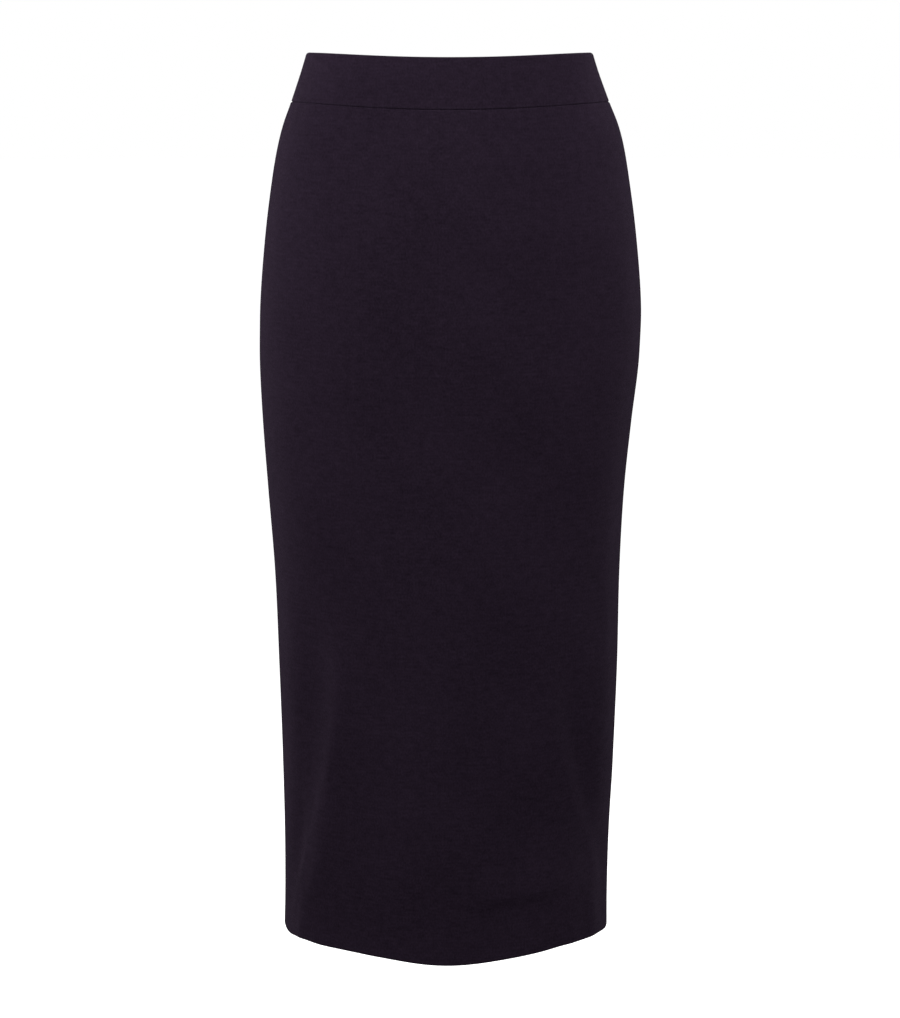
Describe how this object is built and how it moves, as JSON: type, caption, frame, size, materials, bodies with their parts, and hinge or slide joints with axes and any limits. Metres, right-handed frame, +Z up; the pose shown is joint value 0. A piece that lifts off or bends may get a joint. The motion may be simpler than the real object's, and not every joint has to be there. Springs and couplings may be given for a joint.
{
  "type": "pencil skirt",
  "caption": "Midi pencil skirt in plain double knit with a contoured waistband, side seams and a walking slit at the back, hollow and filled out as when worn.",
  "frame": {"origin": "middle of the waistband: on the line between the side seams, halfway down the band, where a wearer's waist holds the skirt up", "axes": "+Z up along the skirt, -Y out of the centre front, +X towards the side seam at a viewer's right"},
  "size_m": [0.3246, 0.2391, 0.7605],
  "materials": {
    "double_knit": "matt dark aubergine double knit"
  },
  "bodies": {
    "root": {"waistband_front": "double_knit", "waistband_back": "double_knit", "front_panel": "double_knit", "back_panel_left": "double_knit", "back_panel_right": "double_knit"}
  },
  "joints": []
}
